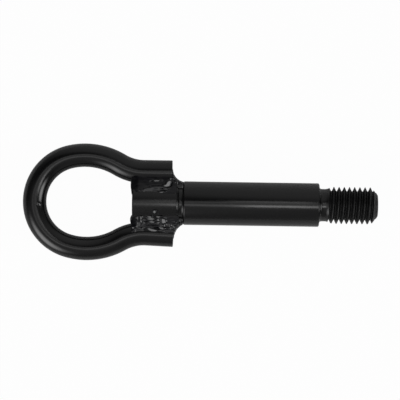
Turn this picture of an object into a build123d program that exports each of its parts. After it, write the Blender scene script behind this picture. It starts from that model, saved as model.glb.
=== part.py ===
from build123d import *
import math
import os

# A screw-in recovery hook: a round bar bent into an eye, welded to the tail of a turned shank with a
# threaded stud. Millimetres. The origin is the centre of the front shoulder face, +X runs along the
# shank's axis to the threaded tip, and the eye lies flat in the XY plane.

# Shank
shank_d = 21.0
shank_length = 65.2
shank_front_edge_r = 0.7
shank_rear_edge_r = 0.5

# Tail of the shank, between the legs of the eye, turned down from the shank by the step
tail_step = 1.35
tail_length = 24.7
tail_end_chamfer = 0.6
relief_depth = 0.9
relief_width = 2.8

# Neck between the front shoulder and the thread
neck_d = 15.6
neck_length = 3.0
neck_corner_r = 1.25

# Threaded stud, plain at the thread's major diameter
thread_major_d = 17.8
thread_length = 24.15
thread_start_chamfer = 3.3
thread_end_chamfer = 1.85

# Tip of the stud
tip_d = 12.7
tip_length = 1.05
nose_d = 10.4
nose_length = 0.7

# Eye, bent from round bar
bar_d = 11.3
eye_inside_d = 33.0
upper_crown_angle = 77.5
lower_crown_angle = 74.0
side_bend_r = 32.6
neck_bend_r = 23.6
upper_leg_straight = 13.7
upper_leg_setback = 5.6
lower_leg_setback = 4.7
lower_leg_angle = 2.3
upper_root_gap = 0.05
lower_root_gap = 0.25
leg_edge_r = 0.25

# Weld beads. A bead's edges are placed by angles round the tail and round the bar, measured from the
# line between their centres.
upper_tail_edge_angle = 65.0
upper_leg_edge_angle = 70.0
lower_tail_edge_angle = 46.0
lower_leg_edge_angle = 79.0
bead_crown_height = 0.4
bead_overhang = 0.7
bead_run_in = 3.0
bead_run_out = 2.2
end_wrap_rise = 1.8
end_wrap_inset = 0.5
end_wrap_width = 8.4

# Largest share of a wall that one rounding takes
round_share = 0.48

# Radii and places that follow from the sizes
shank_r = shank_d / 2
tail_r = shank_r - tail_step
neck_r = neck_d / 2
thread_r = thread_major_d / 2
tip_r = tip_d / 2
bar_r = bar_d / 2
crown_r = (eye_inside_d + bar_d) / 2
rear_shoulder_x = -shank_length
tail_end_x = rear_shoulder_x - tail_length
thread_end_x = neck_length + thread_length
stud_end_x = thread_end_x + tip_length
UPPER = 1
LOWER = -1


def rounded_corner(face, x, r, radius, wall):
    """Rounds the corner of a half section at x along the axis and r from it, within the wall's share."""
    corner = face.vertices().sort_by_distance((x, r, 0))[0]
    return fillet(corner, min(radius, wall * round_share))


def turned_profile():
    """Half section of the turned shank, from the tail's end to the stud's nose."""
    relief_x = rear_shoulder_x - relief_width
    relief_r = tail_r - relief_depth
    face = make_face(
        Polyline(
            (tail_end_x, 0),
            (tail_end_x, tail_r - tail_end_chamfer),
            (tail_end_x + tail_end_chamfer, tail_r),
            (relief_x - relief_depth, tail_r),
            (relief_x, relief_r),
            (rear_shoulder_x, relief_r),
            (rear_shoulder_x, shank_r),
            (0, shank_r),
            (0, neck_r),
            (neck_length, neck_r),
            (neck_length + thread_start_chamfer, thread_r),
            (thread_end_x - thread_end_chamfer, thread_r),
            (thread_end_x, tip_r),
            (stud_end_x - nose_length, tip_r),
            (stud_end_x, nose_d / 2),
            (stud_end_x, 0),
            close=True,
        )
    )
    rear_step = shank_r - relief_r
    front_step = shank_r - neck_r
    face = rounded_corner(face, rear_shoulder_x, shank_r, shank_rear_edge_r, rear_step)
    face = rounded_corner(face, 0, shank_r, shank_front_edge_r, front_step)
    face = rounded_corner(face, 0, neck_r, neck_corner_r, front_step)
    face = rounded_corner(face, neck_length, neck_r, neck_corner_r, neck_length)
    face = rounded_corner(face, rear_shoulder_x, relief_r, relief_depth, rear_step)
    return rounded_corner(face, relief_x, relief_r, relief_depth, relief_width)


def threaded_shank():
    """The shank, its tail and its stud, turned in one piece."""
    return revolve(turned_profile(), Axis.X)


# The eye's centre line is a crown about a point on the shank's axis, a wider side bend each side of it,
# and a neck bend each side that turns the other way into the leg. A crown angle is the part of the
# crown that lies on one side of the axis.
side_offset = side_bend_r - crown_r


def neck_centre_y(root_gap):
    """Distance of a neck bend's centre from the axis, for a leg that clears the tail by the root gap."""
    return tail_r + root_gap + bar_r + neck_bend_r


def side_centre_y(crown_angle):
    """Height of a side bend's centre, which lies beyond the axis."""
    return -side_offset * math.sin(math.radians(crown_angle))


def crown_to_neck(crown_angle, root_gap):
    """Distance along the axis from the crown's centre to a neck bend's centre."""
    rise = neck_centre_y(root_gap) - side_centre_y(crown_angle)
    side_to_neck = math.sqrt((side_bend_r + neck_bend_r) ** 2 - rise**2)
    return side_offset * math.cos(math.radians(crown_angle)) + side_to_neck


upper_neck_x = rear_shoulder_x - upper_leg_setback - upper_leg_straight
crown_x = upper_neck_x - crown_to_neck(upper_crown_angle, upper_root_gap)


class EyeHalf:
    """The places along one half of the eye's centre line, and the end of its leg."""

    def __init__(self, side, crown_angle, root_gap, splay, setback):
        self.side = side
        slope = math.radians(splay)
        turn = math.radians(crown_angle)
        neck_centre = Vector(crown_x + crown_to_neck(crown_angle, root_gap), neck_centre_y(root_gap))
        side_centre = Vector(crown_x + side_offset * math.cos(turn), side_centre_y(crown_angle))
        foot = neck_centre + Vector(math.sin(slope), -math.cos(slope)) * neck_bend_r
        side_join = side_centre + (neck_centre - side_centre).normalized() * side_bend_r
        self.end_x = rear_shoulder_x - setback
        self.end_y = foot.Y + (self.end_x - foot.X) * math.tan(slope)
        self.mid_y = (foot.Y + self.end_y) / 2
        self.end = self.place(self.end_x, self.end_y)
        self.foot = self.place(foot.X, foot.Y)
        self.side_join = self.place(side_join.X, side_join.Y)
        self.crown_join = self.place(crown_x - crown_r * math.cos(turn), crown_r * math.sin(turn))

    def place(self, x, y):
        """A point on this half's own side of the axis."""
        return Vector(x, self.side * y)


def eye_path(upper, lower):
    """Centre line of the bar, from the end of the upper leg round the crown to the end of the lower leg."""
    upper_leg = Line(upper.end, upper.foot)
    upper_neck = TangentArc(upper.foot, upper.side_join, tangent=upper_leg % 1)
    upper_side = TangentArc(upper.side_join, upper.crown_join, tangent=upper_neck % 1)
    crown = TangentArc(upper.crown_join, lower.crown_join, tangent=upper_side % 1)
    lower_side = TangentArc(lower.crown_join, lower.side_join, tangent=crown % 1)
    lower_neck = TangentArc(lower.side_join, lower.foot, tangent=lower_side % 1)
    lower_leg = Line(lower.foot, lower.end)
    return Wire([upper_leg, upper_neck, upper_side, crown, lower_side, lower_neck, lower_leg])


def eye_loop(upper, lower):
    """The bent bar, with its two sawn leg ends lightly dressed."""
    path = eye_path(upper, lower)
    section = Plane(origin=path @ 0, z_dir=path % 0) * Circle(bar_r)
    bar = sweep(section, path=path)
    ends = [bar.faces().sort_by_distance(half.end)[0] for half in (upper, lower)]
    return fillet([edge for face in ends for edge in face.edges()], leg_edge_r)


def bead_section(leg_y, tail_edge_angle, leg_edge_angle):
    """Section across a bead, front and back, closed by chords inside the tail and the leg."""
    tail_turn = math.radians(tail_edge_angle)
    leg_turn = math.radians(leg_edge_angle)
    tail_front = Vector(tail_r * math.cos(tail_turn), tail_r * math.sin(tail_turn))
    leg_front = Vector(leg_y - bar_r * math.cos(leg_turn), bar_r * math.sin(leg_turn))
    tail_back = Vector(tail_front.X, -tail_front.Y)
    leg_back = Vector(leg_front.X, -leg_front.Y)
    return make_face(
        [
            SagittaArc(leg_front, tail_front, bead_crown_height),
            Line(tail_front, tail_back),
            SagittaArc(tail_back, leg_back, bead_crown_height),
            Line(leg_back, leg_front),
        ]
    )


def bead_envelope(half):
    """Turned shape that ends a bead: its overhang past the tail and the hollow fillet to the shoulder."""
    crest_r = half.end_y + end_wrap_rise
    crest = Vector(half.end_x, crest_r)
    shoulder = Vector(rear_shoulder_x, shank_r - shank_rear_edge_r)
    hollow = TangentArc(crest, shoulder, tangent=(0, -1))
    rest = Polyline(
        shoulder,
        (rear_shoulder_x, 0),
        (tail_end_x, 0),
        (tail_end_x, tail_r - bead_run_in),
        (tail_end_x - bead_overhang, tail_r),
        (tail_end_x - bead_overhang, crest_r),
        crest,
    )
    return revolve(make_face([hollow, rest]), Axis.X)


def along_x(x):
    """A sketch plane across the axis at x, with its own x along +Y and its own y along +Z."""
    return Plane(origin=(x, 0, 0), x_dir=(0, 1, 0), z_dir=(1, 0, 0))


def weld_bead(half, tail_edge_angle, leg_edge_angle, bar, shank):
    """One bead: down the front, round the leg's end and down the back, seated on the bar and the shank."""
    start_x = tail_end_x - bead_overhang
    section = bead_section(half.mid_y, tail_edge_angle, leg_edge_angle)
    run = extrude(along_x(start_x) * section, half.end_x + bead_run_out - start_x)
    wrap_section = Pos(half.end_y, 0) * Circle(bar_r - end_wrap_inset)
    wrap_section += Pos(half.end_y / 2, 0) * Rectangle(half.end_y, end_wrap_width)
    wrap = extrude(along_x(half.end_x) * wrap_section, rear_shoulder_x - half.end_x)
    metal = (run + wrap) & bead_envelope(half)
    if half.side == LOWER:
        metal = mirror(metal, about=Plane.XZ)
    return metal - bar - shank


def main():
    upper = EyeHalf(UPPER, upper_crown_angle, upper_root_gap, 0, upper_leg_setback)
    lower = EyeHalf(LOWER, lower_crown_angle, lower_root_gap, lower_leg_angle, lower_leg_setback)
    bar = eye_loop(upper, lower)
    shank = threaded_shank()
    parts = {
        "eye_loop": bar,
        "threaded_shank": shank,
        "weld_upper": weld_bead(upper, upper_tail_edge_angle, upper_leg_edge_angle, bar, shank),
        "weld_lower": weld_bead(lower, lower_tail_edge_angle, lower_leg_edge_angle, bar, shank),
    }
    os.makedirs("parts", exist_ok=True)
    for name, shape in parts.items():
        export_step(shape, f"parts/{name}.step")


main()
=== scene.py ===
"""Dresses a packed recovery tow hook: the bent eye, the turned shank with its left-hand thread, the two weld
beads, gloss black paint and a plain studio. It is laid out as an add-on and run as a script."""

import math
from itertools import pairwise

import bpy
from bpy.props import FloatProperty, FloatVectorProperty, IntProperty, PointerProperty
from mathutils import Euler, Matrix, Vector, noise


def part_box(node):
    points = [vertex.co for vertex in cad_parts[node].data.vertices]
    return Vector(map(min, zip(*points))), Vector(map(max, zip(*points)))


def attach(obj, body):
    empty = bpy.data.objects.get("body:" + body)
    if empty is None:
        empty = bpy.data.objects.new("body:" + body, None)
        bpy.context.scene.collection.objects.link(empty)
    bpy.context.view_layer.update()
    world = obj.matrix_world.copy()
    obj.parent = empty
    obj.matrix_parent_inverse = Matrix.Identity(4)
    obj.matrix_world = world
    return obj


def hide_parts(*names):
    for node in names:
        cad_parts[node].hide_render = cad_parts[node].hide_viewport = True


bl_info = {
    "name": "Recovery Tow Hook",
    "version": (1, 0, 0),
    "blender": (4, 5, 0),
    "location": "View3D > Sidebar > Tow Hook",
    "description": "Models and finishes a screw-in recovery tow hook",
    "category": "Add Mesh",
}

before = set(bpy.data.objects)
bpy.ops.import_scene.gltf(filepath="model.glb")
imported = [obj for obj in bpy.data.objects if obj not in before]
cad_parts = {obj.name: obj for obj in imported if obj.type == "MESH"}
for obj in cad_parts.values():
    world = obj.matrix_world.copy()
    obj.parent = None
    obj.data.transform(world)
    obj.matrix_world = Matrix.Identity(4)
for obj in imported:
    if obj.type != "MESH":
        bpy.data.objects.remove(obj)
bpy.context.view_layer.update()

MM = 0.001
BODY = "root"
UPPER = 1
LOWER = -1
WHITE = (1, 1, 1, 1)

# Points closer than this are merged, and edges blunter than this angle are shaded smooth.
MERGE_DISTANCE = 0.001 * MM
SMOOTH_ANGLE = math.radians(35)

# The frame gives what it can: the axis is the X axis, and the front shoulder is at X = 0.
eye_low, eye_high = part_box("eye_loop")
shank_low, shank_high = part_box("threaded_shank")
bar_radius = eye_high.z
shank_radius = shank_high.z
tail_end_x = shank_low.x
stud_end_x = shank_high.x


# Settings
def size(name, description, default):
    """A property for a length in metres."""
    return FloatProperty(
        name=name, description=description, default=default, unit="LENGTH", subtype="DISTANCE", precision=5
    )


def angle(name, description, degrees):
    """A property for an angle, given in degrees."""
    return FloatProperty(name=name, description=description, default=math.radians(degrees), subtype="ANGLE")


def fraction(name, description, default):
    """A property for a number from 0 to 1."""
    return FloatProperty(name=name, description=description, default=default, min=0, max=1)


def count(name, description, default, lowest):
    """A property for a whole number."""
    return IntProperty(name=name, description=description, default=default, min=lowest)


def colour(name, description, default):
    """A property for a linear colour."""
    return FloatVectorProperty(
        name=name, description=description, default=default, subtype="COLOR", size=3, min=0, max=1
    )


class HookEyeSettings(bpy.types.PropertyGroup):
    """Sizes of the bent bar."""

    crown_radius: size("Crown radius", "Centre line radius of the eye's crown", 22.15 * MM)
    side_radius: size("Side radius", "Centre line radius of the two side bends", 32.6 * MM)
    neck_radius: size("Neck radius", "Centre line radius of the two neck bends", 23.6 * MM)
    upper_crown_angle: angle("Upper crown angle", "Part of the crown above the axis", 77.5)
    lower_crown_angle: angle("Lower crown angle", "Part of the crown below the axis", 74)
    lower_leg_angle: angle("Lower leg angle", "Slope of the lower leg", 2.3)
    upper_setback: size("Upper setback", "Gap from the upper leg's end to the rear shoulder", 5.6 * MM)
    lower_setback: size("Lower setback", "Gap from the lower leg's end to the rear shoulder", 4.7 * MM)
    upper_root_gap: size("Upper root gap", "Gap between the tail and the upper leg", 0.05 * MM)
    lower_root_gap: size("Lower root gap", "Gap between the tail and the lower leg", 0.25 * MM)
    end_edge: size("End edge", "Rounding of the bar's sawn ends", 0.35 * MM)
    ring_step: size("Ring step", "Spacing of the mesh rings along the bar", 0.7 * MM)
    around: count("Around", "Mesh points round the bar", 80, 16)


class HookShankSettings(bpy.types.PropertyGroup):
    """Sizes of the turned shank and its stud."""

    length: size("Shank length", "Length between the two shoulders", 65.2 * MM)
    front_edge: size("Front edge", "Rounding of the front shoulder's edge", 0.7 * MM)
    rear_edge: size("Rear edge", "Rounding of the rear shoulder's edge", 0.5 * MM)
    tail_step: size("Tail step", "Step down from the shank to the tail", 1.35 * MM)
    tail_chamfer: size("Tail chamfer", "Chamfer at the tail's end", 0.6 * MM)
    relief_depth: size("Relief depth", "Depth of the groove behind the rear shoulder", 0.9 * MM)
    relief_width: size("Relief width", "Width of the groove behind the rear shoulder", 2.8 * MM)
    neck_radius: size("Neck radius", "Radius of the neck behind the thread", 7.8 * MM)
    neck_corner: size("Neck corner", "Radius of the hollow between neck and shoulder", 1.25 * MM)
    neck_length: size("Neck length", "Length of the plain neck", 3.0 * MM)
    crest_radius: size("Crest radius", "Radius to the thread's crests", 8.9 * MM)
    flank_angle: angle("Flank angle", "Angle of a flank from the radial plane", 25.8)
    crest_flat: size("Crest flat", "Width of the flat on a crest", 0.10 * MM)
    crest_round: size("Crest rounding", "Radius of the crests' painted edges", 0.12 * MM)
    root_round: size("Root rounding", "Radius of the roots' hollow", 0.25 * MM)
    pitch: size("Pitch", "Pitch of the left-hand thread", 2.5 * MM)
    crest_phase: size("Crest phase", "Distance from the shoulder to the first crest at +Y", 2.14 * MM)
    thread_full: size("Full thread", "Distance from the shoulder to the first full crest", 6.3 * MM)
    groove_start: size("Groove start", "Distance from the shoulder to the groove's first mark", 2.3 * MM)
    groove_full: size("Groove full", "Distance from the shoulder to the groove's full depth", 4.5 * MM)
    end_chamfer: size("End chamfer", "Length of the chamfer over the last crests", 1.85 * MM)
    tip_radius: size("Tip radius", "Radius of the plain tip", 6.35 * MM)
    tip_length: size("Tip length", "Length of the plain tip with its nose", 1.05 * MM)
    tip_taper: size("Tip taper", "How much the plain tip narrows towards its nose", 0.1 * MM)
    nose_radius: size("Nose radius", "Radius of the flat end face", 5.2 * MM)
    nose_length: size("Nose length", "Length of the nose chamfer", 0.7 * MM)
    around: count("Around", "Mesh points round the shank", 144, 24)


class HookWeldSettings(bpy.types.PropertyGroup):
    """Sizes of the weld metal's surface."""

    swell: size("Swell", "How far the bead's solid grows to sink into the steel", 0.2 * MM)
    grain: size("Grain", "Mesh spacing over the beads", 0.2 * MM)
    softening: count("Softening", "Smoothing passes over the bare beads", 8, 0)
    upper_lump: size("Upper lumps", "Height of the lumps on the upper bead", 0.06 * MM)
    lower_lump: size("Lower lumps", "Height of the lumps on the lower bead", 0.10 * MM)
    upper_wrinkle: size("Upper wrinkles", "Height of the fine wrinkles on the upper bead", 0.012 * MM)
    lower_wrinkle: size("Lower wrinkles", "Height of the fine wrinkles on the lower bead", 0.04 * MM)
    crater: size("Craters", "Depth of the craters near the shoulder", 0.7 * MM)
    crater_reach: size("Crater reach", "How far the craters reach from the shoulder", 6.5 * MM)
    end_round: size("End rounding", "Length over which a bead's free end rounds off", 4.2 * MM)
    end_drop: fraction("End drop", "Share of its height that a bead loses at its free end", 0.25)
    end_bulge: size("End bulge", "How far a bead's end bulges past its corners", 0.7 * MM)


class HookPaintSettings(bpy.types.PropertyGroup):
    """Colours and gloss of the paint, and the colour of the floor."""

    paint: colour("Paint", "Gloss black paint", (0.004, 0.004, 0.0042))
    weld_paint: colour("Weld paint", "Paint over the weld metal", (0.004, 0.004, 0.0052))
    floor: colour("Floor", "Studio floor", (0.62, 0.62, 0.62))
    gloss: fraction("Roughness", "Roughness of the paint", 0.15)
    thread_dull: fraction("Dull thread", "Roughness that the paint gains over the thread", 0.28)
    tail_dull: fraction("Dull tail", "Roughness that the paint gains over the tail", 0.09)


class HookStageSettings(bpy.types.PropertyGroup):
    """Place of the camera and brightness of the room."""

    camera_x: size("Camera X", "Point of the axis under the camera", -57.34 * MM)
    camera_y: size("Camera Y", "Offset of the camera across the axis", 1.61 * MM)
    camera_height: size("Camera height", "Height of the camera above the axis", 1.1)
    camera_turn: angle("Camera turn", "Turn of the picture about the line of sight", 0.857)
    field: size("Field", "Width of the picture at the height of the axis", 192.8 * MM)
    room: fraction("Room", "Brightness of the walls against white", 0.4)


SETTINGS = {
    "hook_eye": HookEyeSettings,
    "hook_shank": HookShankSettings,
    "hook_weld": HookWeldSettings,
    "hook_paint": HookPaintSettings,
    "hook_stage": HookStageSettings,
}


# Modelling helpers
def start_fresh():
    """Leaves edit mode and selects nothing."""
    if bpy.context.object and bpy.context.object.mode != "OBJECT":
        bpy.ops.object.mode_set(mode="OBJECT")
    bpy.ops.object.select_all(action="DESELECT")


def select_only(*objects):
    """Selects these objects, the first one active."""
    start_fresh()
    for each in objects:
        each.select_set(True)
    bpy.context.view_layer.objects.active = objects[0]


def edit(mode="VERT"):
    """Opens the active object in edit mode, all selected."""
    bpy.ops.object.mode_set(mode="EDIT")
    bpy.ops.mesh.select_mode(type=mode)
    bpy.ops.mesh.select_all(action="SELECT")


def edit_faces(target, chosen):
    """Opens a piece in edit mode with only those faces selected that a test chooses."""
    select_only(target)
    edit("FACE")
    bpy.ops.mesh.select_all(action="DESELECT")
    bpy.ops.object.mode_set(mode="OBJECT")
    for face in target.data.polygons:
        face.select = chosen(face)
    bpy.ops.object.mode_set(mode="EDIT")


def apply_modifier(target, kind, **settings):
    """Adds one modifier, sets it and applies it."""
    select_only(target)
    modifier = target.modifiers.new(kind.title(), kind)
    for key, value in settings.items():
        setattr(modifier, key, value)
    bpy.ops.object.modifier_apply(modifier=modifier.name)


def move_points(target, move_at):
    """Moves each point of a piece by the vector that a function gives for it, all worked out first."""
    moves = [move_at(vertex) for vertex in target.data.vertices]
    for vertex, move in zip(target.data.vertices, moves):
        vertex.co += move


def move_out(target, height_at):
    """Moves each point of a piece along its normal by the height that its place gives."""
    move_points(target, lambda vertex: vertex.normal * height_at(vertex.co))


def add_disc(name, radius, points, x, y=0.0):
    """A disc across the X axis, its place in its mesh, named and left selected in edit mode."""
    start_fresh()
    bpy.ops.mesh.primitive_circle_add(
        vertices=points, radius=radius, fill_type="NGON", location=(x, y, 0), rotation=(0, math.pi / 2, 0)
    )
    disc = bpy.context.object
    disc.name = name
    disc.data.name = name
    bpy.ops.object.transform_apply(location=True, rotation=True, scale=True)
    edit("FACE")
    return disc


def close_shell(target, smooth_angle=SMOOTH_ANGLE):
    """Merges doubles, turns the faces outwards and smooths all but the sharp edges."""
    select_only(target)
    edit()
    bpy.ops.mesh.remove_doubles(threshold=MERGE_DISTANCE)
    bpy.ops.mesh.normals_make_consistent(inside=False)
    bpy.ops.object.mode_set(mode="OBJECT")
    bpy.ops.object.shade_smooth_by_angle(angle=smooth_angle)


def arc(x, radius, corner, first, last, steps=5):
    """Points (x, radius) of a quarter or part of a circle in a turned profile, angles in degrees."""
    points = []
    for step in range(steps + 1):
        turn = math.radians(first + (last - first) * step / steps)
        points.append((x + corner * math.cos(turn), radius + corner * math.sin(turn)))
    return points


def smooth_step(low, high, value):
    """0 below low, 1 above high and smooth between them."""
    share = min(1.0, max(0.0, (value - low) / (high - low)))
    return share * share * (3 - 2 * share)


def dress(target, node, material):
    """Gives the piece its finish, hides the node's own part that it replaces and makes it ride with its body.
    """
    target.data.materials.clear()
    target.data.materials.append(material)
    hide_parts(node)
    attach(target, BODY)


# Shader helpers
class Signal:
    """A node's socket that adds Math nodes when it takes part in an expression."""

    def __init__(self, graph, socket):
        self.graph = graph
        self.socket = socket

    def math(self, operation, *others):
        """A Math node on this signal and the others."""
        return self.graph.math(operation, self, *others)

    def __add__(self, other):
        return self.math("ADD", other)

    def __mul__(self, other):
        return self.math("MULTIPLY", other)

    def __sub__(self, other):
        return self.math("SUBTRACT", other)

    def __rsub__(self, other):
        return self.graph.math("SUBTRACT", other, self)

    def __truediv__(self, other):
        return self.math("DIVIDE", other)

    def __rtruediv__(self, other):
        return self.graph.math("DIVIDE", other, self)

    def __pow__(self, other):
        return self.math("POWER", other)

    def __rpow__(self, other):
        return self.graph.math("POWER", other, self)

    __radd__ = __add__
    __rmul__ = __mul__


class Node:
    """A shader node with its outputs as signals."""

    def __init__(self, graph, node):
        self.graph = graph
        self.node = node

    def out(self, key):
        """One of the node's outputs, by name or in order."""
        return Signal(self.graph, self.node.outputs[key])


class Graph:
    """The node tree of a material or world."""

    def __init__(self, owner):
        owner.use_nodes = True
        self.tree = owner.node_tree
        self.tree.nodes.clear()

    def node(self, kind, settings=None, inputs=()):
        """Adds a node: its settings first, then its sockets' values or links, by name or in order."""
        made = self.tree.nodes.new(kind)
        for key, value in (settings or {}).items():
            if key == "stops":
                self.set_stops(made.color_ramp, value)
            else:
                setattr(made, key, value)
        pairs = inputs.items() if isinstance(inputs, dict) else enumerate(inputs)
        for key, value in pairs:
            if isinstance(value, Signal):
                self.tree.links.new(value.socket, made.inputs[key])
            else:
                made.inputs[key].default_value = value
        return Node(self, made)

    def set_stops(self, ramp, stops):
        """Sets a ramp's (place, grey level) stops."""
        while len(ramp.elements) < len(stops):
            ramp.elements.new(1.0)
        for element, (place, level) in zip(ramp.elements, stops):
            element.position = place
            element.color = (level, level, level, 1)

    def math(self, operation, *values):
        """A Math node on signals and plain numbers."""
        return self.node("ShaderNodeMath", {"operation": operation}, values).out(0)

    def dot(self, first, second):
        """The dot product of two directions."""
        return self.node("ShaderNodeVectorMath", {"operation": "DOT_PRODUCT"}, [first, second]).out("Value")

    def place(self, scale=(1, 1, 1)):
        """Object coordinates, scaled."""
        where = self.node("ShaderNodeTexCoord").out("Object")
        return self.node("ShaderNodeMapping", {}, {"Vector": where, "Scale": scale}).out(0)

    def noise(self, vector, scale, detail=2.0, roughness=0.5):
        """A noise level from 0 to 1."""
        inputs = {"Vector": vector, "Scale": scale, "Detail": detail, "Roughness": roughness}
        return self.node("ShaderNodeTexNoise", {}, inputs).out("Fac")

    def ramp(self, level, *stops):
        """A level taken through a ramp."""
        return self.node("ShaderNodeValToRGB", {"stops": stops}, [level]).out("Color")

    def mix(self, share, first, second):
        """A colour between two. A Mix node takes colours in its sockets 6 and 7 and gives its own in 2."""
        inputs = {0: share, 6: with_alpha(first), 7: with_alpha(second)}
        return self.node("ShaderNodeMix", {"data_type": "RGBA"}, inputs).out(2)


def with_alpha(rgb):
    """A solid colour with the fourth number that a colour socket takes."""
    return (*rgb, 1.0)


# The paint's patterns, as waves to a metre
PEEL_SCALE = 420.0
GRAIN_SCALE = 1900.0
DUST_SCALE = 900.0
RING_SCALE = (2600.0, 12.0, 12.0)

# The noise levels between which dust shows, how much paler than the paint it is and how much it covers
DUST_STOPS = ((0.52, 0.0), (0.75, 1.0))
DUST_PALER = 1.8
DUST_COVER = 0.6

# What the dust and the orange peel add to the roughness
DUST_DULL = 0.06
PEEL_DULL = 0.05
PAINT_IOR = 1.5

# How high each piece's orange peel, fine grain and turning rings stand
BAR_BUMPS = {"peel": 0.010 * MM, "grain": 0.0012 * MM}
SHANK_BUMPS = {"peel": 0.006 * MM, "grain": 0.0010 * MM, "rings": 0.0009 * MM}
WELD_BUMPS = {"peel": 0.008 * MM, "grain": 0.0010 * MM}


def paint_material(name, rgb, roughness, peel, grain, rings=0.0, dull=()):
    """Gloss paint: orange peel, faint dust in the gloss and, on turned steel, the tool's rings under it.

    Each row of dull says where along X the paint loses gloss, over what run and how much roughness it gains.
    """
    material = bpy.data.materials.new(name)
    graph = Graph(material)
    where = graph.place()
    broad = graph.noise(where, PEEL_SCALE)
    fine = graph.noise(where, GRAIN_SCALE)
    dust = graph.noise(where, DUST_SCALE, detail=6.0, roughness=0.7)
    height = broad * peel + fine * grain
    if rings:
        turned = graph.noise(graph.place(RING_SCALE), 1.0, detail=3.0, roughness=0.6)
        height = height + turned * rings
    bump = graph.node("ShaderNodeBump", {}, {"Strength": 1.0, "Distance": 1.0, "Height": height})
    speck = graph.ramp(dust, *DUST_STOPS)
    shade = graph.mix(speck * DUST_COVER, rgb, [channel * DUST_PALER for channel in rgb])
    gloss = speck * DUST_DULL + (broad - 0.5) * PEEL_DULL + roughness
    for start, run, extra in dull:
        along = graph.node("ShaderNodeSeparateXYZ", {}, [where]).out("X")
        gloss = graph.ramp((along - start) / run, (0.0, 0.0), (1.0, 1.0)) * extra + gloss
    inputs = {"Base Color": shade, "Roughness": gloss, "IOR": PAINT_IOR, "Normal": bump.out("Normal")}
    shader = graph.node("ShaderNodeBsdfPrincipled", {}, inputs).out(0)
    graph.node("ShaderNodeOutputMaterial", {}, [shader])
    return material


# The eye
class Half:
    """Places and turns of one half of the eye's centre line, worked out as if it were the upper half."""

    def __init__(self, eye, side):
        shank = bpy.context.scene.hook_shank
        upper = side == UPPER
        crown_angle = eye.upper_crown_angle if upper else eye.lower_crown_angle
        root_gap = eye.upper_root_gap if upper else eye.lower_root_gap
        slope = 0.0 if upper else eye.lower_leg_angle
        setback = eye.upper_setback if upper else eye.lower_setback
        offset = eye.side_radius - eye.crown_radius
        side_x = offset * math.cos(crown_angle)
        side_y = offset * math.sin(crown_angle)
        neck_y = shank_radius - shank.tail_step + root_gap + bar_radius + eye.neck_radius
        rise = neck_y + side_y
        reach = eye.side_radius + eye.neck_radius
        self.side = side
        self.crown_angle = crown_angle
        self.slope = slope
        self.crown_x = eye_low.x + bar_radius + eye.crown_radius
        self.side_centre = Vector((self.crown_x + side_x, -side_y, 0))
        self.neck_centre = Vector((self.side_centre.x + math.sqrt(reach**2 - rise**2), neck_y, 0))
        foot = self.neck_centre + eye.neck_radius * Vector((math.sin(slope), -math.cos(slope), 0))
        self.end_x = -shank.length - setback
        self.end_y = foot.y + (self.end_x - foot.x) * math.tan(slope)
        self.leg_length = (self.end_x - foot.x) / math.cos(slope)
        bend = math.atan2(rise, self.neck_centre.x - self.side_centre.x)
        self.neck_turn = math.pi / 2 - bend + slope
        self.side_turn = math.pi - crown_angle - bend

    def place(self, point):
        """A point on this half's own side of the axis."""
        return Vector((point.x, self.side * point.y, 0))


def bend_bar(centre, turn, radius, ring_step):
    """Spins the selected end of the bar about a centre; a positive turn is clockwise seen from above."""
    steps = max(2, round(abs(turn) * radius / ring_step))
    bpy.ops.mesh.spin(steps=steps, angle=turn, center=centre, axis=(0, 0, 1))


def draw_bar(length, heading, ring_step):
    """Extrudes the selected end of the bar straight along its heading."""
    steps = max(2, round(length / ring_step))
    for _ in range(steps):
        bpy.ops.mesh.extrude_region_move(TRANSFORM_OT_translate={"value": heading * (length / steps)})


# The paint nib on the crown, its place measured from the crown's centre
NIB_PLACE = Vector((-19.7, -1.2, 5.1)) * MM
NIB_WIDTH = 1.3 * MM
NIB_HEIGHT = 0.16 * MM


def nib_height(offset):
    """Height of the nib and of the dip beside it, at a point's offset from the nib's middle."""
    bump_reach = 0.5 * NIB_WIDTH
    dip_reach = 0.6 * NIB_WIDTH
    dip_place = Vector((-0.2 * NIB_WIDTH, -0.9 * NIB_WIDTH, 0))
    dip_share = 0.7
    bump = math.exp(-((offset.length / bump_reach) ** 2))
    dip = math.exp(-(((offset - dip_place).length / dip_reach) ** 2))
    return NIB_HEIGHT * (bump - dip_share * dip)


def raise_nib(bar, centre):
    """Raises a small uneven paint nib on the bar, in a patch of finer mesh, with a shallow dip beside it."""
    patch_reach = 2.2 * NIB_WIDTH
    edit_faces(bar, lambda face: (face.center - centre).length < patch_reach)
    bpy.ops.mesh.subdivide(number_cuts=3, smoothness=0.6)
    bpy.ops.object.mode_set(mode="OBJECT")
    move_out(bar, lambda point: nib_height(point - centre))


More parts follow.
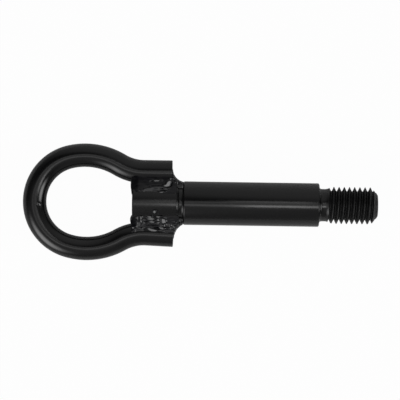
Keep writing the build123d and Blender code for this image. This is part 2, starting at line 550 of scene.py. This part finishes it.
class HOOK_OT_eye(bpy.types.Operator):
    """Bends the eye from round bar"""

    bl_idname = "hook.add_eye"
    bl_label = "Eye"

    def execute(self, context):
        eye = context.scene.hook_eye
        paint = context.scene.hook_paint
        upper = Half(eye, UPPER)
        lower = Half(eye, LOWER)
        if min(upper.leg_length, lower.leg_length) <= 0:
            raise RuntimeError("the eye's legs have no length")
        bar = add_disc("eye_bar", bar_radius, eye.around, upper.end_x, upper.end_y)
        self.bend(eye, upper, lower)
        close_shell(bar)
        self.round_ends(bar, eye.end_edge)
        raise_nib(bar, Vector((upper.crown_x, 0, 0)) + NIB_PLACE)
        close_shell(bar)
        material = paint_material("bar_paint", paint.paint, paint.gloss, **BAR_BUMPS)
        dress(bar, "eye_loop", material)
        return {"FINISHED"}

    def bend(self, eye, upper, lower):
        """Draws and bends the bar from the end of the upper leg, round the crown, to the end of the lower."""
        step = eye.ring_step
        draw_bar(upper.leg_length, Vector((-1, 0, 0)), step)
        bend_bar(upper.neck_centre, upper.neck_turn, eye.neck_radius, step)
        bend_bar(upper.side_centre, -upper.side_turn, eye.side_radius, step)
        crown_turn = upper.crown_angle + lower.crown_angle
        bend_bar((upper.crown_x, 0, 0), -crown_turn, eye.crown_radius, step)
        bend_bar(lower.place(lower.side_centre), -lower.side_turn, eye.side_radius, step)
        bend_bar(lower.place(lower.neck_centre), lower.neck_turn, eye.neck_radius, step)
        heading = Vector((math.cos(lower.slope), -math.sin(lower.slope), 0))
        draw_bar(lower.leg_length, heading, step)
        bpy.ops.object.mode_set(mode="OBJECT")

    def round_ends(self, bar, radius):
        """Bevels the edge of both end faces, the only faces that have more than four corners."""
        edit_faces(bar, lambda face: len(face.vertices) > 4)
        bpy.ops.mesh.region_to_loop()
        bpy.ops.mesh.bevel(offset=radius, segments=3, profile=0.6)
        bpy.ops.object.mode_set(mode="OBJECT")


# The shank

# Mesh steps along a slope or a flare, and the length of the relief's slope in its own depths
PROFILE_STEPS = 8
RELIEF_RUN = 2.2

# The largest share of the relief that its hollow takes up, and the power of the flare from neck to thread
HOLLOW_SHARE = 0.48
NECK_FLARE = 1.5

# How far the thread's cutter stands out past the crests, and how far it is lifted before its first mark
CUTTER_PROUD = 0.04 * MM
CUTTER_LIFT = 2.4 * MM

# The thread's edges are finer than the others, so fewer of them are shaded smooth.
THREAD_SMOOTH_ANGLE = math.radians(28)

# The lengths over which the paint turns duller, from the groove's start and from the rear shoulder
THREAD_DULL_RUN = 3 * MM
TAIL_DULL_RUN = 2 * MM


def shank_profile(shank):
    """The turned blank as (x, radius) points from the tail's end to the nose."""
    tail_radius = shank_radius - shank.tail_step
    relief_radius = tail_radius - shank.relief_depth
    rear_x = -shank.length
    relief_x = rear_x - shank.relief_width
    depth = shank.relief_depth
    hollow = min(depth, HOLLOW_SHARE * shank.relief_width)
    rear = shank.rear_edge
    front = shank.front_edge
    corner = shank.neck_corner
    flare_length = shank.thread_full - shank.neck_length
    flare_height = shank.crest_radius - shank.neck_radius
    plain_end = stud_end_x - shank.tip_length
    shares = [step / PROFILE_STEPS for step in range(PROFILE_STEPS + 1)]
    points = [
        (tail_end_x, tail_radius - shank.tail_chamfer),
        (tail_end_x + shank.tail_chamfer, tail_radius),
    ]
    for share in shares:
        x = relief_x - depth + share * RELIEF_RUN * depth
        points.append((x, tail_radius - depth * smooth_step(0, 1, share)))
    points += arc(rear_x - hollow, relief_radius + hollow, hollow, 270, 360)
    points += arc(rear_x + rear, shank_radius - rear, rear, 180, 90)
    points += arc(-front, shank_radius - front, front, 90, 0)
    points += arc(corner, shank.neck_radius + corner, corner, 180, 270)
    for share in shares:
        x = shank.neck_length + share * flare_length
        points.append((x, shank.neck_radius + share**NECK_FLARE * flare_height))
    points += [
        (plain_end - shank.end_chamfer, shank.crest_radius),
        (plain_end, shank.tip_radius),
        (stud_end_x - shank.nose_length, shank.tip_radius - shank.tip_taper),
        (stud_end_x, shank.nose_radius),
    ]
    return points


def turn_blank(name, profile, around):
    """Turns a closed blank on the X axis: a disc drawn out and resized from each point to the next."""
    x, radius = profile[0]
    blank = add_disc(name, radius, around, x)
    for (x0, r0), (x1, r1) in pairwise(profile):
        bpy.ops.mesh.extrude_region_move(TRANSFORM_OT_translate={"value": (x1 - x0, 0, 0)})
        bpy.ops.transform.resize(value=(1, r1 / r0, r1 / r0), center_override=(x1, 0, 0))
    bpy.ops.object.mode_set(mode="OBJECT")
    close_shell(blank)
    return blank


def groove_section(shank):
    """Half of the groove between two crests, as (distance from its middle, radius) points, root first."""
    flank = shank.flank_angle
    flank_degrees = math.degrees(flank)
    rounding = shank.crest_round
    crest_middle = (shank.pitch - shank.crest_flat) / 2
    crest = arc(crest_middle, shank.crest_radius - rounding, rounding, 180 - flank_degrees, 90, steps=3)
    rise = (crest[0][0] - shank.root_round * math.cos(flank)) / math.tan(flank)
    root_middle = crest[0][1] - rise + shank.root_round * math.sin(flank)
    root = arc(0, root_middle, shank.root_round, 270, 360 - flank_degrees, steps=4)
    return root + crest + [(crest[-1][0], shank.crest_radius + CUTTER_PROUD)]


def thread_cutter(shank):
    """The tool that cuts the thread: its section wound left-handed, and lifted clear where it starts."""
    half = groove_section(shank)
    outline = [(-x, radius) for x, radius in reversed(half[1:])] + half
    first_x = shank.crest_phase - shank.pitch / 2
    turns = math.ceil((stud_end_x - first_x) / shank.pitch) + 1
    start_fresh()
    bpy.ops.mesh.primitive_circle_add(vertices=len(outline), radius=1, fill_type="NGON")
    tool = bpy.context.object
    tool.name = "thread_cutter"
    for vertex, (x, radius) in zip(tool.data.vertices, outline):
        vertex.co = (first_x + x, radius, 0)
    apply_modifier(
        tool,
        "SCREW",
        axis="X",
        angle=-2 * math.pi,
        screw_offset=shank.pitch,
        iterations=turns,
        steps=shank.around,
        render_steps=shank.around,
        use_smooth_shade=False,
    )
    select_only(tool)
    edit()
    bpy.ops.mesh.fill_holes(sides=0)
    bpy.ops.mesh.normals_make_consistent(inside=False)
    bpy.ops.object.mode_set(mode="OBJECT")
    for vertex in tool.data.vertices:
        radius = math.hypot(vertex.co.y, vertex.co.z)
        lift = 1 - smooth_step(shank.groove_start, shank.groove_full, vertex.co.x)
        growth = (radius + lift * CUTTER_LIFT) / radius
        vertex.co.y *= growth
        vertex.co.z *= growth
    return tool


class HOOK_OT_shank(bpy.types.Operator):
    """Turns the shank and cuts its left-hand thread"""

    bl_idname = "hook.add_shank"
    bl_label = "Shank and thread"

    def execute(self, context):
        shank = context.scene.hook_shank
        paint = context.scene.hook_paint
        blank = turn_blank("shank_body", shank_profile(shank), shank.around)
        tool = thread_cutter(shank)
        apply_modifier(blank, "BOOLEAN", operation="DIFFERENCE", solver="EXACT", object=tool)
        bpy.data.objects.remove(tool)
        close_shell(blank, THREAD_SMOOTH_ANGLE)
        dull = (
            (shank.groove_start, THREAD_DULL_RUN, paint.thread_dull),
            (-shank.length, -TAIL_DULL_RUN, paint.tail_dull),
        )
        material = paint_material("shank_paint", paint.paint, paint.gloss, **SHANK_BUMPS, dull=dull)
        dress(blank, "threaded_shank", material)
        return {"FINISHED"}


# The weld beads

# A facet is a face that the welder's pool left: its place, half its length and half its width and its turn in
# the plane, in millimetres and degrees, and how steeply it leans along X and along Y.
UPPER_FACETS = [
    (-80.2, 6.0, 4.0, 1.2, 9, 0.02, 0.55),
    (-78.4, 10.5, 1.7, 0.3, 7, 0.30, 0.80),
    (-72.5, 9.2, 1.2, 0.85, 60, -0.56, 0.46),
    (-73.4, 8.2, 1.3, 0.5, 0, -0.56, 0.46),
    (-74.4, 6.6, 1.4, 0.4, 8, 0.32, 0.78),
    (-76.6, 5.1, 1.9, 0.35, 10, 0.28, 0.86),
    (-85.3, 5.5, 0.7, 0.5, 0, 0.35, 0.70),
    (-86.5, 4.3, 0.6, 0.4, 0, 0.36, 0.22),
    (-71.5, 11.5, 0.4, 0.3, 0, -0.60, 0.42),
]
LOWER_FACETS = [
    (-88.8, -9.2, 1.0, 2.4, 0, 0.00, -0.25),
    (-85.4, -8.9, 0.5, 2.2, 0, 0.30, 0.10),
    (-83.8, -8.3, 0.9, 0.35, 0, 0.28, 0.32),
    (-80.9, -7.8, 1.9, 0.45, 3, 0.27, 0.30),
    (-81.7, -6.8, 1.0, 0.3, 6, 0.25, 0.30),
    (-77.4, -6.8, 1.5, 0.35, 8, 0.27, 0.30),
    (-77.3, -8.3, 0.6, 0.4, 0, 0.40, 0.34),
    (-80.0, -9.3, 2.4, 0.3, 0, 0.24, 0.26),
    (-77.5, -9.6, 0.9, 0.4, 0, 0.32, -0.10),
    (-84.0, -9.7, 1.1, 0.25, 0, 0.32, 0.50),
    (-74.6, -9.0, 0.85, 0.85, 0, 0.42, 0.33),
    (-74.2, -10.9, 0.4, 0.85, 0, 0.34, 0.30),
    (-80.7, -10.8, 3.1, 0.5, 0, 0.02, -0.30),
    (-85.8, -12.7, 2.9, 0.5, -3, 0.00, 0.10),
    (-80.5, -13.1, 2.4, 0.6, -3, 0.34, 0.42),
    (-75.9, -12.2, 2.4, 0.4, 0, 0.34, 0.44),
    (-70.8, -10.8, 0.45, 0.35, 30, 0.46, 0.34),
    (-69.0, -10.6, 0.3, 0.4, 0, 0.60, 0.32),
    (-70.6, -12.2, 0.4, 0.25, 0, 0.46, 0.34),
    (-79.0, -4.2, 1.1, 0.9, 0, 0.44, 0.34),
]

# Drops of spatter on the front of the tail: their places and radii in millimetres, and their squashed form
SPATTER = [(-79.0, -4.2, 1.3), (-77.2, -5.4, 0.35), (-80.2, -5.9, 0.28)]
DROP_FORM = (1.1, 0.9, 0.6)

# What sets each bead apart: its facets and its spatter, where across the axis its free end bulges and how
# far to each side, in millimetres, and the seed of its lumps.
BEADS = {
    "weld_upper": {
        "facets": UPPER_FACETS,
        "spatter": [],
        "bulge_y": 8.8,
        "bulge_reach": 4.0,
        "seed": 3.0,
    },
    "weld_lower": {
        "facets": LOWER_FACETS,
        "spatter": SPATTER,
        "bulge_y": -8.5,
        "bulge_reach": 2.4,
        "seed": 11.0,
    },
}

# The bare bead's weight against a facet's, a facet's edge in squared half sizes, and how fast it fades
BARE_SHARE = 0.08
FACET_EDGE = 5
FACET_FADE = 0.4

# The upward share of a normal at which a bead's face starts to count as level, and at which it fully does
LEVEL_SLOPES = (0.1, 0.5)

# How long and how wide the waves of the lumps, the wrinkles and the craters are
LUMP_LENGTH = 3.0 * MM
LUMP_WIDTH = 1.3 * MM
WRINKLE_LENGTH = 2.2 * MM
WRINKLE_WIDTH = 0.5 * MM
CRATER_WIDTH = 0.9 * MM

# The distances from the axis between which the craters set in, the noise levels between which one sinks, and
# the share of their reach, next to the shoulder, where they are full
CRATER_BAND = (8.3 * MM, 10.3 * MM)
CRATER_LEVELS = (0.05, 0.3)
CRATER_FULL_SHARE = 0.3

# How fast the drop of a bead's free end fades beside its bulge
END_DROP_FADE = 0.4


def facet_height(point, facets):
    """Height of the facets' planes at a point, each weighed by how near it is, in metres."""
    weights = BARE_SHARE
    total = 0.0
    for x, y, length, width, turn, lean_x, lean_y in facets:
        dx = point.x / MM - x
        dy = point.y / MM - y
        cosine = math.cos(math.radians(turn))
        sine = math.sin(math.radians(turn))
        away = ((dx * cosine + dy * sine) / length) ** 2 + ((dy * cosine - dx * sine) / width) ** 2
        if away < FACET_EDGE:
            weight = math.exp(-FACET_FADE * away * away)
            weights += weight
            total += weight * (lean_x * dx + lean_y * dy)
    return total / weights * MM


def noise_at(point, length, width, shift):
    """Noise whose waves have a length along the bead and a width across it."""
    return noise.noise(Vector((point.x / length, point.y / width, point.z / width)) + shift)


class HOOK_OT_welds(bpy.types.Operator):
    """Lays the rough weld metal over both bead solids"""

    bl_idname = "hook.add_welds"
    bl_label = "Weld beads"

    def execute(self, context):
        weld = context.scene.hook_weld
        paint = context.scene.hook_paint
        relief = {
            "weld_upper": (weld.upper_lump, weld.upper_wrinkle),
            "weld_lower": (weld.lower_lump, weld.lower_wrinkle),
        }
        material = paint_material("weld_paint", paint.weld_paint, paint.gloss, **WELD_BUMPS)
        for node, bead in BEADS.items():
            metal = self.add_metal(weld, node, bead["spatter"])
            self.round_end(weld, metal, bead["bulge_y"], bead["bulge_reach"])
            self.roughen(weld, metal, *relief[node], bead["seed"])
            self.cut_facets(metal, bead["facets"])
            apply_modifier(metal, "SMOOTH", factor=0.5, iterations=1)
            bpy.ops.object.shade_smooth()
            dress(metal, node, material)
        return {"FINISHED"}

    def add_metal(self, weld, node, spatter):
        """A copy of a bead's solid, swollen into the steel, joined with its spatter and meshed evenly."""
        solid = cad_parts[node]
        metal = solid.copy()
        metal.data = solid.data.copy()
        metal.parent = None
        metal.name = node + "_metal"
        # The copy is no node of the frame, so it drops the marks that it took over from the solid.
        for key in list(metal.keys()):
            del metal[key]
        bpy.context.scene.collection.objects.link(metal)
        close_shell(metal)
        apply_modifier(metal, "DISPLACE", strength=weld.swell, mid_level=0.0)
        drops = [self.add_drop(*drop) for drop in spatter]
        if drops:
            select_only(metal, *drops)
            bpy.ops.object.join()
        apply_modifier(metal, "REMESH", mode="VOXEL", voxel_size=weld.grain, use_smooth_shade=True)
        apply_modifier(metal, "SMOOTH", factor=0.5, iterations=weld.softening)
        return metal

    def add_drop(self, x, y, radius):
        """A drop of spatter seated on the front of the tail."""
        tail_radius = shank_radius - bpy.context.scene.hook_shank.tail_step
        centre = Vector((x * MM, y * MM, math.sqrt(tail_radius**2 - (y * MM) ** 2)))
        start_fresh()
        bpy.ops.mesh.primitive_ico_sphere_add(subdivisions=4, radius=radius * MM, location=centre)
        drop = bpy.context.object
        bpy.ops.object.transform_apply(location=True, rotation=True, scale=True)
        edit()
        bpy.ops.transform.resize(value=DROP_FORM, center_override=centre)
        bpy.ops.object.mode_set(mode="OBJECT")
        return drop

    def round_end(self, weld, metal, bulge_y, bulge_reach):
        """Rounds off the bead's free end: both faces sink towards it, and its corners draw back."""
        free_x = metal.bound_box[0][0]
        for vertex in metal.data.vertices:
            near = max(0, 1 - (vertex.co.x - free_x) / weld.end_round)
            beside = ((vertex.co.y / MM - bulge_y) / bulge_reach) ** 2
            vertex.co.z *= 1 - weld.end_drop * near * near * math.exp(-END_DROP_FADE * beside)
            vertex.co.x += weld.end_bulge * near * (1 - math.exp(-beside))

    def roughen(self, weld, metal, lump, wrinkle, seed):
        """Raises the pool's lumps and wrinkles, and sinks craters towards the shoulder."""
        shift = Vector((seed, -seed, 2 * seed))
        shoulder_x = metal.bound_box[4][0]
        craters_from = shoulder_x - weld.crater_reach
        craters_full = shoulder_x - CRATER_FULL_SHARE * weld.crater_reach

        def height_at(point):
            lumps = lump * noise_at(point, LUMP_LENGTH, LUMP_WIDTH, shift)
            wrinkles = wrinkle * noise_at(point, WRINKLE_LENGTH, WRINKLE_WIDTH, -shift)
            cratered = smooth_step(craters_from, craters_full, point.x)
            cratered *= smooth_step(*CRATER_BAND, abs(point.y))
            hollow = smooth_step(*CRATER_LEVELS, noise_at(point, CRATER_WIDTH, CRATER_WIDTH, -shift))
            return lumps + wrinkles - cratered * weld.crater * hollow

        move_out(metal, height_at)

    def cut_facets(self, metal, facets):
        """Raises and sinks the bead's front and back, where they lie level, as its facets lean."""

        def lean(vertex):
            side = math.copysign(1, vertex.co.z)
            level = smooth_step(*LEVEL_SLOPES, side * vertex.normal.z)
            return Vector((0, 0, side * level * facet_height(vertex.co, facets)))

        move_points(metal, lean)


# The stage

# A glow is a bright or a dark part of the studio round the hook: its heading from the X axis, its angle from
# straight up and its reach, in degrees, its brightness against white, and how sharply it ends.
GLOWS = {
    "key_softbox": (-134.5, 63.5, 21.0, 3.95, 1.8),
    "side_softbox": (-14.0, 60.5, 15.8, 4.6, 1.9),
    "ceiling": (-17.0, 7.0, 16.0, 0.65, 1.0),
    "ceiling_end": (188.0, 16.0, 8.0, 0.60, 1.0),
    "camera_gap": (88.0, 9.0, 18.0, -0.50, 1.0),
    "upper_gap": (132.0, 36.0, 15.5, -0.26, 1.0),
    "left_wall": (156.0, 67.0, 45.0, -0.43, 1.0),
    "right_wall": (-11.0, 61.0, 44.0, -0.50, 1.0),
    "far_corner": (42.0, 91.0, 18.5, -0.31, 1.0),
    "near_wall": (-101.0, 75.0, 29.0, -0.20, 1.0),
}

# The room is a little brighter towards +Y, and no part of it is darker than the darkest.
FAR_SIDE_GAIN = 0.07
FAR_SIDE_STOPS = ((0.0, 0.0), (0.3, 1.0))
DARKEST = 0.02

# The lamps above the hook: place, length and width in millimetres, and brightness against white. The two near
# ones differ in height, because at one height they hide each other in the gloss.
LAMPS = {
    "near_strip": {"place": (-70, -65, 373), "length": 260, "width": 66, "level": 0.60},
    "near_lamp": {"place": (38, -74, 371), "length": 150, "width": 66, "level": 1.8},
    "far_strip": {"place": (-90, 72, 592), "length": 380, "width": 84, "level": 0.45},
    "far_lamp": {"place": (24, 100, 592), "length": 170, "width": 120, "level": 1.15},
}

# Watts to a square metre at which a lamp is as bright as white
WHITE_LAMP = 4

# The floor's size, and how much of its white the camera and the gloss see
FLOOR_RADIUS = 4
FLOOR_POINTS = 96
FLOOR_SEEN = 0.975
FLOOR_IN_GLOSS = 0.05

# The camera's sensor in millimetres, and how far it sees in metres
SENSOR_WIDTH = 36
FARTHEST_SEEN = 20


def floor_material(rgb):
    """Pale floor that looks white, shows a little of that in gloss and still takes the hook's shadow."""
    material = bpy.data.materials.new("studio_floor")
    graph = Graph(material)
    matt = graph.node("ShaderNodeBsdfDiffuse", {}, {"Color": with_alpha(rgb)}).out(0)
    white = graph.node("ShaderNodeEmission", {}, {"Color": WHITE, "Strength": 1.0}).out(0)
    ray = graph.node("ShaderNodeLightPath")
    seen = ray.out("Is Camera Ray").math("MAXIMUM", ray.out("Is Transmission Ray"))
    share = seen * FLOOR_SEEN + ray.out("Is Glossy Ray") * FLOOR_IN_GLOSS
    mixed = graph.node("ShaderNodeMixShader", {}, [share, matt, white]).out(0)
    graph.node("ShaderNodeOutputMaterial", {}, [mixed])
    return material


class HOOK_OT_stage(bpy.types.Operator):
    """Sets the floor, the soft lamps, the surroundings and the camera"""

    bl_idname = "hook.add_stage"
    bl_label = "Stage"

    def execute(self, context):
        scene = context.scene
        self.add_floor(scene.hook_paint.floor)
        for name, lamp in LAMPS.items():
            self.add_lamp(name, **lamp)
        self.set_surroundings(scene)
        self.add_camera(scene)
        scene.view_settings.view_transform = "Standard"
        return {"FINISHED"}

    def add_floor(self, rgb):
        """A round floor under the shank."""
        start_fresh()
        bpy.ops.mesh.primitive_circle_add(
            vertices=FLOOR_POINTS,
            radius=FLOOR_RADIUS,
            fill_type="NGON",
            location=(stud_end_x / 2, 0, -shank_radius),
        )
        floor = bpy.context.object
        floor.name = "studio_floor"
        bpy.ops.object.transform_apply(location=True, rotation=True, scale=True)
        floor.data.materials.append(floor_material(rgb))

    def add_lamp(self, name, place, length, width, level):
        """A soft rectangular lamp that shines straight down."""
        data = bpy.data.lights.new(name, "AREA")
        data.shape = "RECTANGLE"
        data.size = length * MM
        data.size_y = width * MM
        data.energy = WHITE_LAMP * level * data.size * data.size_y
        lamp = bpy.data.objects.new(name, data)
        bpy.context.scene.collection.objects.link(lamp)
        lamp.location = Vector(place) * MM
        lamp.visible_camera = False

    def set_surroundings(self, scene):
        """A studio of soft boxes and dark gaps round the hook, white to the eye."""
        world = bpy.data.worlds.new("studio")
        scene.world = world
        graph = Graph(world)
        way = graph.node("ShaderNodeTexCoord").out("Generated")
        far_side = graph.ramp(graph.dot(way, (0, 1, 0)), *FAR_SIDE_STOPS)
        level = far_side * FAR_SIDE_GAIN + scene.hook_stage.room
        for heading, zenith, reach, bright, edge in GLOWS.values():
            middle = Euler((0, math.radians(zenith), math.radians(heading))).to_matrix() @ Vector((0, 0, 1))
            away = graph.dot(way, middle).math("ARCCOSINE")
            fade = (away / math.radians(reach)) ** (2 * edge) * -1
            level = level + fade.math("EXPONENT") * bright
        level = level.math("MAXIMUM", DARKEST)
        seen = graph.node("ShaderNodeLightPath").out("Is Camera Ray")
        room = graph.node("ShaderNodeBackground", {}, {"Color": WHITE, "Strength": level}).out(0)
        white = graph.node("ShaderNodeBackground", {}, {"Color": WHITE, "Strength": 1.0}).out(0)
        mixed = graph.node("ShaderNodeMixShader", {}, [seen, room, white]).out(0)
        graph.node("ShaderNodeOutputWorld", {}, [mixed])

    def add_camera(self, scene):
        """A camera straight above the hook, turned a little about its line of sight."""
        stage = scene.hook_stage
        data = bpy.data.cameras.new("camera")
        data.sensor_width = SENSOR_WIDTH
        data.lens = SENSOR_WIDTH * stage.camera_height / stage.field
        data.clip_end = FARTHEST_SEEN
        camera = bpy.data.objects.new("camera", data)
        scene.collection.objects.link(camera)
        camera.location = (stage.camera_x, stage.camera_y, stage.camera_height)
        camera.rotation_euler = Euler((0, 0, stage.camera_turn))
        scene.camera = camera


class HOOK_PT_panel(bpy.types.Panel):
    """Lists the hook's pieces and their settings"""

    bl_idname = "HOOK_PT_panel"
    bl_label = "Tow Hook"
    bl_space_type = "VIEW_3D"
    bl_region_type = "UI"
    bl_category = "Tow Hook"

    def draw(self, context):
        for operator in OPERATORS:
            self.layout.operator(operator.bl_idname)
        for name in SETTINGS:
            box = self.layout.box()
            group = getattr(context.scene, name)
            for prop in group.bl_rna.properties:
                if prop.identifier not in ("rna_type", "name"):
                    box.prop(group, prop.identifier)


OPERATORS = [HOOK_OT_eye, HOOK_OT_shank, HOOK_OT_welds, HOOK_OT_stage]


def register():
    for name, group in SETTINGS.items():
        bpy.utils.register_class(group)
        setattr(bpy.types.Scene, name, PointerProperty(type=group))
    for operator in OPERATORS:
        bpy.utils.register_class(operator)
    bpy.utils.register_class(HOOK_PT_panel)


def unregister():
    bpy.utils.unregister_class(HOOK_PT_panel)
    for operator in reversed(OPERATORS):
        bpy.utils.unregister_class(operator)
    for name, group in SETTINGS.items():
        delattr(bpy.types.Scene, name)
        bpy.utils.unregister_class(group)


def main():
    register()
    bpy.ops.hook.add_eye()
    bpy.ops.hook.add_shank()
    bpy.ops.hook.add_welds()
    bpy.ops.hook.add_stage()


if __name__ == "__main__":
    main()
